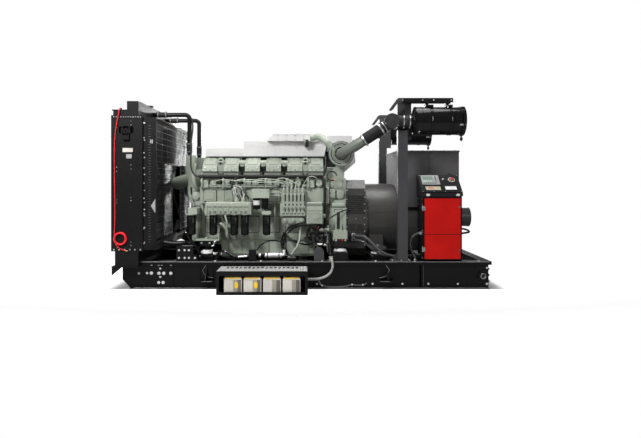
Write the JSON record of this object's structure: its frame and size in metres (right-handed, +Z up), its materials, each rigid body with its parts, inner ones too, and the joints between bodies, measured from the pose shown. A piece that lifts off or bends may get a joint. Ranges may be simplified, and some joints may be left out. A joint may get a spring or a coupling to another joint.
{
  "type": "diesel generator set",
  "caption": "Open skid-mounted diesel generator set with a V engine, fan-cooled radiator, alternator, overhead air filters and a control cabinet.",
  "frame": {"origin": "on the floor under the middle cross member, on the set's centreline", "axes": "+X from the radiator towards the alternator, -Y the control and battery side, +Z up"},
  "size_m": [4.932, 2.6028, 2.49],
  "materials": {
    "skid_black": "satin black paint on structural steel",
    "skid_black_lug": "satin black paint on lugs and shelves",
    "battery_box_black": "satin black powder coat",
    "battery_case": "beige moulded case",
    "radiator_charcoal": "charcoal powder coat",
    "radiator_fins": "black coated fins",
    "fan_black": "black moulded fan",
    "guard_wire": "black coated wire, shiny",
    "engine_green": "sage engine enamel",
    "turbo_grey": "cast housing, grey green",
    "shield_grey": "light grey heat shield sheet",
    "filter_black": "gloss black spin-on filter",
    "conduit_grey": "grey plastic conduit",
    "pipe_pale": "pale green painted steel pipe",
    "heater_black": "black heater case with a steel pipe",
    "cable_black": "black cable sheath",
    "pipe_black": "satin black pipe",
    "mount_black": "black mount with rubber core",
    "alternator_grey": "dark grey cast frame",
    "terminal_grey": "charcoal sheet metal",
    "frame_grey": "grey painted post",
    "air_filter_black": "gloss black filter housing",
    "intake_dark": "dark moulded elbow",
    "hose_rubber": "ribbed rubber hose",
    "cabinet_black": "black powder coat",
    "door_red": "gloss red paint",
    "console_black": "black console face",
    "hose_red": "red flexible hose"
  },
  "bodies": {
    "genset": {"skid_rails": "skid_black", "skid_cross_members": "skid_black", "lifting_lugs": "skid_black_lug", "radiator_shelves": "skid_black_lug", "battery_box": "battery_box_black", "batteries": "battery_case", "battery_conduit": "conduit_grey", "radiator_stand": "radiator_charcoal", "radiator_core": "radiator_fins", "radiator_side_panels": "radiator_charcoal", "radiator_tanks": "radiator_charcoal", "fan_shroud": "radiator_charcoal", "fan_guard": "guard_wire", "guard_uprights": "guard_wire", "fan_drive": "engine_green", "engine_block": "engine_green", "oil_pan": "engine_green", "front_gear_case": "engine_green", "flywheel_housing": "engine_green", "cylinder_heads": "engine_green", "rocker_covers": "engine_green", "heat_shields": "shield_grey", "turbochargers": "turbo_grey", "charge_pipes": "engine_green", "coolant_pipes": "pipe_black", "thermostat_housings": "engine_green", "filter_headers": "engine_green", "oil_filters": "filter_black", "injection_pump": "engine_green", "starter_motors": "turbo_grey", "oil_pipes": "pipe_pale", "coolant_heater": "heater_black", "wiring_harness": "cable_black", "junction_box": "frame_grey", "alternator_feet": "alternator_grey", "power_cables": "cable_black", "mount_brackets": "engine_green", "vibration_mounts": "mount_black", "alternator_housing": "alternator_grey", "alternator_vent_housing": "alternator_grey", "alternator_exciter": "alternator_grey", "terminal_box": "terminal_grey", "filter_frames": "frame_grey", "air_filters": "air_filter_black", "intake_elbows": "intake_dark", "intake_pipes": "turbo_grey", "air_hoses": "hose_rubber", "control_cabinet": "cabinet_black", "control_console": "console_black", "red_hose": "hose_red", "red_hose_coil": "hose_red"},
    "fan": {"fan_hub": "fan_black", "fan_blades": "fan_black"},
    "cabinet_door": {"cabinet_door": "door_red"},
    "console_lid": {"console_lid": "console_black"}
  },
  "joints": [
    {"name": "fan_spin", "type": "hinge", "parent": "genset", "child": "fan", "pos_m": [-1.99, 0, 1.38], "axis": [1, 0, 0], "continuous": true},
    {"name": "door_swing", "type": "hinge", "parent": "genset", "child": "cabinet_door", "pos_m": [1.559, -1.014, 0.78], "axis": [0, 0, -1], "range_deg": [0, 110]},
    {"name": "lid_lift", "type": "hinge", "parent": "genset", "child": "console_lid", "pos_m": [1.819, -0.70474, 1.49796], "axis": [-1, 0, 0], "range_deg": [0, 80]}
  ]
}
